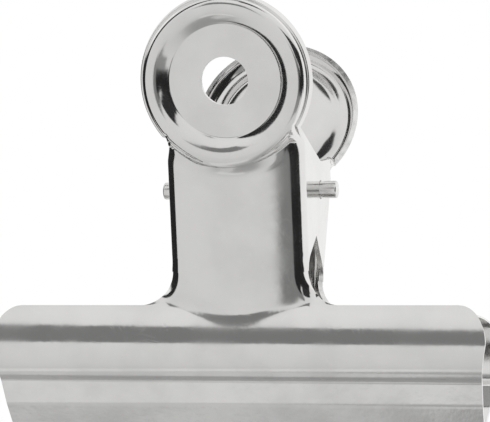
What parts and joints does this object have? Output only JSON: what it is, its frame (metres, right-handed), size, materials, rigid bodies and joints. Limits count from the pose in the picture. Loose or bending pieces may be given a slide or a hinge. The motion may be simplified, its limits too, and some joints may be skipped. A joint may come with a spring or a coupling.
{
  "type": "spring clip",
  "caption": "Wide nickel-plated letter clip: twin sheet-steel jaws on a hinge pin, held shut by a coil spring and opened by round thumb discs with hanging holes.",
  "frame": {"origin": "middle of the closed lips' foot, the lowest point of the clip when it stands on its lips", "axes": "+X along the jaws, -Y towards the front plate, +Z from the lips up to the thumb discs"},
  "size_m": [0.075, 0.0452, 0.0642],
  "materials": {
    "nickel_plate": "bright nickel plate with faint drawing marks",
    "pin_steel": "nickel-plated rod, slightly duller than the plates",
    "spring_wire": "drawn spring wire, satin"
  },
  "bodies": {
    "front": {"front_jaw": "nickel_plate", "hinge_pin": "pin_steel", "torsion_spring": "spring_wire"},
    "rear": {"rear_jaw": "nickel_plate"}
  },
  "joints": [
    {"name": "jaw_hinge", "type": "hinge", "parent": "front", "child": "rear", "pos_m": [0, 0, 0.0378], "axis": [1, 0, 0], "range_deg": [0, 74], "stiffness_Nm_per_rad": 0.3, "springref_deg": -114.59, "deforming": ["torsion_spring"]}
  ]
}
